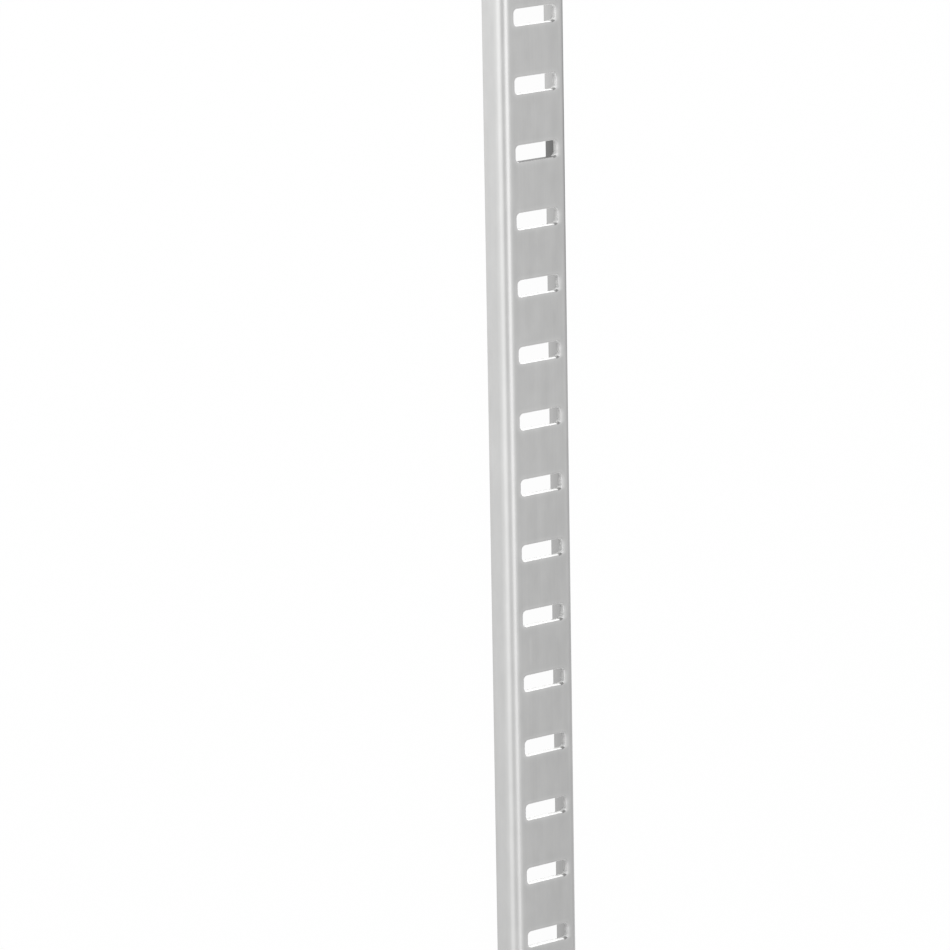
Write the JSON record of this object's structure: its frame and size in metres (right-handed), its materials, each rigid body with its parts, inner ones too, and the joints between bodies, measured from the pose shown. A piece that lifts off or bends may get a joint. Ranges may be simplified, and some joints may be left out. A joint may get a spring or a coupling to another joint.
{
  "type": "shelf standard",
  "caption": "Slotted steel channel that is fixed upright to a cabinet side, so that shelf clips can hook into its evenly spaced slots at any height.",
  "frame": {"origin": "centre of the strip's length and width, on the plane of the two flange edges", "axes": "+X along the strip, +Y across it, +Z out of the slotted face; in use X is vertical and -X is up"},
  "size_m": [0.6096, 0.0154, 0.006],
  "materials": {
    "satin_steel": "smooth satin grey, bare or zinc plated"
  },
  "bodies": {
    "root": {"slotted_channel": "satin_steel"}
  },
  "joints": []
}
